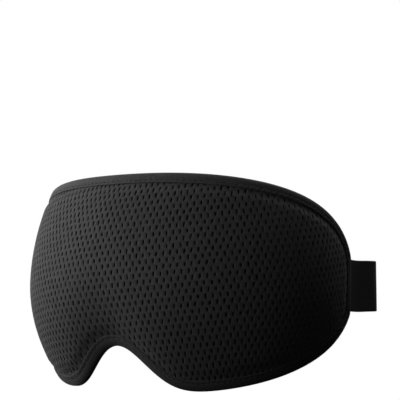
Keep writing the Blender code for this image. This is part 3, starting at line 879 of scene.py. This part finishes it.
def half_apex():
    """From the end of the right-hand run to the middle of the back."""
    x, y = run_start()
    x, y = x - RUN * sin(BEND_ANGLE), y + RUN * cos(BEND_ANGLE)
    radius = x / cos(BEND_ANGLE)
    return arc((0, y - radius * sin(BEND_ANGLE)), radius, BEND_ANGLE, pi / 2, 50)


def mirror(path):
    return [(-x, y) for x, y in path]


def through(points, steps):
    """A smooth line through points, in the strap's run coordinates."""
    p = np.array(points, float)
    p = np.concatenate([[2 * p[0] - p[1]], p, [2 * p[-1] - p[-2]]])
    line = []
    for a, b, c, d in zip(p, p[1:], p[2:], p[3:]):
        for t in np.linspace(0, 1, steps, endpoint=False):
            square, cube = (2 * a - 5 * b + 4 * c - d) * t**2, (3 * b - a - 3 * c + d) * t**3
            line.append(0.5 * (2 * b + (c - a) * t + square + cube))
    return [tuple(q) for q in line] + [tuple(p[-2])]


def bar_wrap(bar_at, side):
    """Round a ring bar and back: side is -1 for a band that comes from the mask's end."""
    centre = -LAYER_STEP / 2
    radius = BAR_RADIUS + GAP + STRAP_THICK / 2
    turns = np.linspace(pi / 2, -pi / 2, 13)
    around = [(bar_at - side * radius * cos(a), centre + radius * sin(a)) for a in turns]
    near, far = bar_at + side * 5.5 * MM, bar_at + side * 3 * MM
    approach = [(near, 0), (far, 0.35 * MM)]
    leave = [(far, -LAYER_STEP - 0.35 * MM), (near, -LAYER_STEP)]
    return through(approach + around + leave, 3)


def even(path, spacing):
    path = np.array(path)
    reach = distances(path)
    along = np.linspace(0, reach[-1], max(3, int(reach[-1] / spacing) + 1))
    return on_path(along, reach, path), along


def band_section():
    """The webbing's outline: ribbed faces and round selvedges, as (thickness, height) and length."""
    half = STRAP_THICK / 2
    flat = HALF - half
    z = np.linspace(-flat, flat, 67)
    face = half - RIB_HEIGHT * (1 - np.abs(np.cos(pi * z / RIB_PITCH)))
    turn = np.linspace(0, pi, 9)[1:-1]
    top = np.stack([half * np.cos(turn), flat + half * np.sin(turn)], axis=1)
    front = np.stack([face, z], axis=1)
    return np.concatenate([front, top, -front, -top])


def build_band(name, path, material, taper_ends=(True, True)):
    """Webbing on edge along a plan path. Its sewn or cut ends are pressed thin and closed."""
    line, along = even(path, 0.7 * MM)
    for _ in range(2):
        line[1:-1] = (line[:-2] + 2 * line[1:-1] + line[2:]) / 4
    direction = unit(np.gradient(line, axis=0))
    across = np.stack([direction[:, 1], -direction[:, 0]], axis=1)
    section = band_section()
    squeeze = np.ones(len(line))
    for taper, from_end in zip(taper_ends, (along, along[-1] - along)):
        if taper:
            pressed = END_THIN + (1 - END_THIN) * smooth(from_end / END_TAPER)
            squeeze = np.minimum(squeeze, pressed)
    plan = line + across * (section[:, :1] * squeeze)[..., None]
    heights = np.broadcast_to(section[:, 1, None, None], plan.shape[:2] + (1,))
    points = np.concatenate([plan, heights], axis=2)
    around = np.concatenate([section[:, 1], section[:1, 1]])
    piece = grid_piece(name, points, around, along, material, True)
    columns = len(line)
    with edited(piece) as shape:
        shape.verts.ensure_lookup_table()
        for taper, column in zip(taper_ends, (0, columns - 1)):
            if taper:
                shape.faces.new([shape.verts[r * columns + column] for r in range(len(section))])
    piece.data.set_sharp_from_angle(angle=radians(60))
    return piece


def rise(piece, gradual=False):
    """Turns a strap piece up about the swing axis; a piece from the mask's end turns gradually."""
    co = np.zeros(3 * len(piece.data.vertices), np.float32)
    piece.data.vertices.foreach_get("co", co)
    co = co.reshape(-1, 3)
    share = smooth((co[:, 1] - HINGE_Y + 8 * MM) / (16 * MM)) if gradual else np.ones(len(co))
    angle = STRAP_RISE * share
    y, z = co[:, 1] - HINGE_Y, co[:, 2].copy()
    co[:, 1] = HINGE_Y + y * np.cos(angle) - z * np.sin(angle)
    co[:, 2] = y * np.sin(angle) + z * np.cos(angle) - STRAP_DROP
    piece.data.vertices.foreach_set("co", co.ravel())
    piece.data.update()
    return piece


def raised(x, y, z):
    """A point of the flat strap drawing, on the raised strap."""
    y = y - HINGE_Y
    along, up = y * cos(STRAP_RISE) - z * sin(STRAP_RISE), y * sin(STRAP_RISE) + z * cos(STRAP_RISE)
    return (x, HINGE_Y + along, up - STRAP_DROP)


def on_run(path):
    return [left_run(*point) for point in path]


def raised_run(distance):
    """A point on the middle of the left-hand straight run, on the raised strap."""
    return raised(*left_run(distance, 0), 0)


def build_bands(material):
    right = build_band("strap_right_half", sewn_to_run() + half_apex(), material, (True, False))
    wrap = bar_wrap(RING_AT, -1)
    path = mirror(sewn_to_run()) + on_run(wrap) + on_run([(RING_AT - 14 * MM, -LAYER_STEP)])
    left = build_band("strap_left_end", path, material)
    wrap = bar_wrap(RING_AT + RING_BARS, 1)
    stop = SLIDER_AT - 9 * MM - 0.02 * MM
    path = on_run([(stop, 0)] + wrap + [(stop, -LAYER_STEP)])
    doubled = build_band("strap_doubled", path, material, (False, False))
    over = [(9, 0), (5.4, 0), (4.3, 0.9), (4.1, 3.3), (3.1, 5.0), (1.4, 5.5)]
    over = [(-r, h) for r, h in over] + over[::-1]
    over = through([(SLIDER_AT + r * MM, h * MM) for r, h in over], 5)
    path = on_run(over) + mirror(half_apex())
    back = build_band("strap_left_half", path, material, (False, False))
    around = [(-9, -1.5), (-4, -1.5), (0.4, -1.4), (1.8, -0.4), (2.1, 1.2), (2.1, 2.9), (1.4, 3.85)]
    around += [(0, 4.0), (-1.4, 3.85), (-2.1, 2.9), (-2.1, 1.2), (-2.1, 0.1)]
    around = through([(SLIDER_AT + r * MM, h * MM) for r, h in around], 5)
    loop = build_band("strap_end_loop", on_run(around), material, (False, True))
    return right, left, doubled, back, loop


RING_BEYOND, RING_CORNER, BAR_SIDES = 2.1 * MM, 1.6 * MM, 20


def build_ring(material):
    half_length, half_height, corner = RING_BARS / 2, HALF + RING_BEYOND, RING_CORNER
    stations = []
    for along, up, start in ((1, 1, 0), (-1, 1, pi / 2), (-1, -1, pi), (1, -1, 1.5 * pi)):
        centre = (along * (half_length - corner), up * (half_height - corner))
        stations += arc(centre, corner, start, start + pi / 2, 10)
    stations = np.array(stations)
    outward = -inward(stations)
    rows = []
    for k in range(BAR_SIDES):
        turn = 2 * pi * k / BAR_SIDES
        ring = stations + outward * BAR_RADIUS * cos(turn)
        lift = -LAYER_STEP / 2 + BAR_RADIUS * sin(turn)
        rows.append([(*left_run(RING_AT + half_length + along, lift), z) for along, z in ring])
    along = np.arange(len(stations) + 1) * 1.5 * MM
    around = np.arange(BAR_SIDES + 1) * 0.35 * MM
    return tidy(grid_piece("ring", np.array(rows), around, along, material, True, True))


def build_slider(material):
    low, high = GAP + STRAP_THICK / 2, GAP + STRAP_THICK / 2 + SLIDER_THICK
    half_bar, half_slot = MIDDLE_BAR / 2, SLOT_HEIGHT / 2
    cuts_along = [-SLIDER_LENGTH / 2, -SLOT_OUTER, -half_bar, half_bar, SLOT_OUTER, SLIDER_LENGTH / 2]
    cuts_up = [-SLIDER_HEIGHT / 2, -half_slot, half_slot, SLIDER_HEIGHT / 2]
    shape = bmesh.new()
    for i in range(5):
        for j in range(3):
            if j == 1 and i in (1, 3):
                continue
            corners = []
            for along, up in ((i, j), (i + 1, j), (i + 1, j + 1), (i, j + 1)):
                x, y = left_run(SLIDER_AT + cuts_along[along], low)
                corners.append(shape.verts.new((x, y, cuts_up[up])))
            shape.faces.new(corners)
    bmesh.ops.remove_doubles(shape, verts=shape.verts, dist=WELD)
    grown = bmesh.ops.extrude_face_region(shape, geom=shape.faces[:])["geom"]
    lift = np.array([-cos(BEND_ANGLE), sin(BEND_ANGLE), 0]) * (high - low)
    bmesh.ops.translate(shape, verts=[v for v in grown if isinstance(v, bmesh.types.BMVert)], vec=lift)
    bmesh.ops.recalc_face_normals(shape, faces=shape.faces)
    flat = [e for e in shape.edges if e.calc_face_angle(0) < 0.01]
    bmesh.ops.dissolve_edges(shape, edges=flat, use_verts=True)
    mesh = bpy.data.meshes.new("slider_plate")
    shape.to_mesh(mesh)
    shape.free()
    mesh.materials.append(material)
    piece = add_to_scene("slider_plate", mesh)
    bevel = piece.modifiers.new("round_edges", "BEVEL")
    bevel.width = SLIDER_ROUNDING
    bevel.segments = 4
    bevel.harden_normals = True
    return piece


def build_zigzag(name, corner, across, material):
    """A bar tack: thread to and fro over a bar. corner(share across, height) gives its points."""
    crossings, sides, radius, ends, stray = 68, 6, 0.17 * MM, (0.04, 0.96), 0.03
    line = []
    for n in range(crossings + 1):
        z = -TACK_HEIGHT / 2 + TACK_HEIGHT * n / crossings
        line.append(corner(ends[n % 2] + RANDOM.normal(0, stray), z))
    line = np.array(line)
    legs = [np.linspace(a, b, 4, endpoint=False) for a, b in zip(line, line[1:])]
    fine = np.concatenate(legs + [line[-1:]])
    across = np.array(across, float)
    aside = np.cross(unit(np.gradient(fine, axis=0)), across)
    rows = []
    for k in range(sides):
        angle = 2 * pi * k / sides
        rows.append(fine + (across * cos(angle) + aside * sin(angle)) * radius)
    around = np.arange(sides + 1) * 0.2 * MM
    return tidy(grid_piece(name, np.array(rows), around, distances(fine), material, True))


def build_tacks(material):
    pieces = {}
    y0 = END_Y - BINDING / 2
    for side, word in ((1, "right"), (-1, "left")):
        x = side * (STRAP_X + STRAP_OUT - STRAP_THICK / 2 - TACK_PROUD)

        def corner(share, z, x=x):
            return (x, y0 + share * TACK_WIDTH, z - STRAP_DROP)

        name = f"{word}_end_tack"
        pieces[name] = build_zigzag(name, corner, (1, 0, 0), material)
    height = -LAYER_STEP - STRAP_THICK / 2 - TACK_PROUD
    places = (("ring_loop_tack", RING_AT - 11 * MM), ("slider_loop_tack", SLIDER_AT - 7 * MM))
    for name, distance in places:

        def corner(share, z, distance=distance):
            return (*left_run(distance + share * TACK_WIDTH, height), z)

        pieces[name] = build_zigzag(name, corner, (-cos(BEND_ANGLE), sin(BEND_ANGLE), 0), material)
        rise(pieces[name])
    return pieces


# ---- putting the mask together


def build_mask():
    knit = perforated_knit()
    tape = binding_tape()
    thread = sewing_thread()
    elastic = elastic_webbing()
    plastic = moulded_plastic()
    outer = build_outer_mesh(knit)
    liner, pad, lining = build_inner_layers(blackout_cloth(), charcoal_foam(), face_knit())
    binding = build_binding(tape)
    front = build_stitches("stitches_outside", 1, thread)
    rear = build_stitches("stitches_face_side", -1, thread)
    for piece, node, slot in (
        (outer, "outer_mesh_cover", "outer_mesh"),
        (liner, "blackout_liner", "blackout_cloth"),
        (pad, "foam_core", "foam"),
        (lining, "face_lining", "face_knit"),
        (binding, "edge_binding", "binding_tape"),
        (front, "binding_needle_thread", "thread"),
        (rear, "binding_bobbin_thread", "thread"),
    ):
        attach(piece, "mask")
        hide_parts(node)

    right, left, doubled, back, loop = build_bands(elastic)
    for piece in (right, left):
        rise(piece, gradual=True)
    for piece in (doubled, back, loop):
        rise(piece)
    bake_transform(right)
    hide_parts("strap_anchor_right", "strap_back")
    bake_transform(left)
    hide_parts("strap_anchor_left", "strap_left")
    near = raised_run(SLIDER_AT + 9 * MM)
    far = raised_run(RUN + 24 * MM)
    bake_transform(back)
    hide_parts("strap_slider_pass")
    near = raised_run(RING_AT + RING_BARS - 1 * MM)
    far = raised_run(SLIDER_AT - 7.5 * MM)
    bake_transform(doubled)
    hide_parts("strap_doubled_loop")
    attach(loop, "slider")
    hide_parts("strap_bar_loop")

    ring, slider = rise(build_ring(plastic)), rise(build_slider(plastic))
    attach(ring, "strap")
    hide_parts("strap_ring")
    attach(slider, "slider")
    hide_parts("strap_slider")

    tacks = build_tacks(thread)
    for name, node, body in (
        ("right_end_tack", "anchor_tack_right", "mask"),
        ("left_end_tack", "anchor_tack_left", "mask"),
        ("ring_loop_tack", "ring_tack", "strap"),
        ("slider_loop_tack", "slider_tack", "slider"),
    ):
        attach(tacks[name], body)
        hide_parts(node)


# ---- floor, light and camera


# Each lamp's name, its azimuth and elevation in degrees as seen from the mask, and its watts.
LAMPS = (
    ("key", -100, 15, 4),
    ("left_front", -70, 18, 12),
    ("front", -25, 10, 7),
    ("right", 62, -2, 1.5),
    ("top", -10, 60, 2.4),
    ("face_side", 218, 12, 22),
    ("above_face", 178, 60, 9),
)
LAMP_DISTANCE, LAMP_SIZE = 1.4, 1.0
LAMP_TARGET = Vector((0, 0.03, 0))
FLOOR_REACH, FLOOR_HEIGHT, FLOOR_SHADE = 4.0, -0.16, 0.85
CAMERA_PLACE = (0.44847, -0.49792 + FACE_SHIFT, -0.03542)
# The camera's pan, tilt and roll, in degrees.
CAMERA_TURNS = (38.567, -6.113, -1.471)
CAMERA_LENS, CAMERA_SENSOR = 128.47, 36


def add_lamp(name, azimuth, elevation, watts):
    lamp = bpy.data.lights.new(name, "AREA")
    lamp.shape = "DISK"
    lamp.size = LAMP_SIZE
    lamp.energy = watts
    a, e = radians(azimuth), radians(elevation)
    away = Vector((sin(a) * cos(e), -cos(a) * cos(e), sin(e))) * LAMP_DISTANCE
    thing = add_to_scene(name, lamp)
    thing.location = LAMP_TARGET + away
    thing.rotation_euler = (-away).to_track_quat("-Z", "Y").to_euler()


def build_stage():
    """A white floor that gives no light to the mask, a white backdrop and the lamps."""
    look = Shading(
        "pale_floor",
        (FLOOR_SHADE, FLOOR_SHADE, FLOOR_SHADE),
        1.0,
        Specular_IOR_Level=0.0,
        Emission_Color=(1, 1, 1, 1),
        Emission_Strength=1.0,
    )
    mesh = bpy.data.meshes.new("floor")
    corners = [(x * FLOOR_REACH, y * FLOOR_REACH, 0) for x, y in ((-1, -1), (1, -1), (1, 1), (-1, 1))]
    mesh.from_pydata(corners, [], [(0, 1, 2, 3)])
    mesh.materials.append(look.material)
    floor = add_to_scene("floor", mesh)
    floor.location.z = FLOOR_HEIGHT
    floor.visible_diffuse = False
    floor.visible_glossy = False
    world = bpy.data.worlds.new("studio")
    bpy.context.scene.world = world
    world.use_nodes = True
    background = world.node_tree.nodes["Background"].inputs
    background["Color"].default_value = (1, 1, 1, 1)
    background["Strength"].default_value = 1.0
    world.cycles_visibility.diffuse = False
    world.cycles_visibility.glossy = False
    bpy.context.scene.view_settings.view_transform = "Standard"
    for lamp in LAMPS:
        add_lamp(*lamp)


def build_camera():
    lens = bpy.data.cameras.new("camera")
    lens.sensor_width = CAMERA_SENSOR
    lens.lens = CAMERA_LENS
    lens.clip_start, lens.clip_end = 0.01, 50
    camera = add_to_scene("camera", lens)
    bpy.context.scene.camera = camera
    pan, tilt, roll = (radians(turn) for turn in CAMERA_TURNS)
    back = Vector((sin(pan) * cos(tilt), -cos(pan) * cos(tilt), sin(tilt)))
    right = Vector((cos(pan), sin(pan), 0))
    up = back.cross(right)
    right, up = right * cos(roll) - up * sin(roll), right * sin(roll) + up * cos(roll)
    turn = Matrix((right, up, back)).transposed()
    camera.matrix_world = Matrix.Translation(CAMERA_PLACE) @ turn.to_4x4()


build_mask()
build_stage()
build_camera()
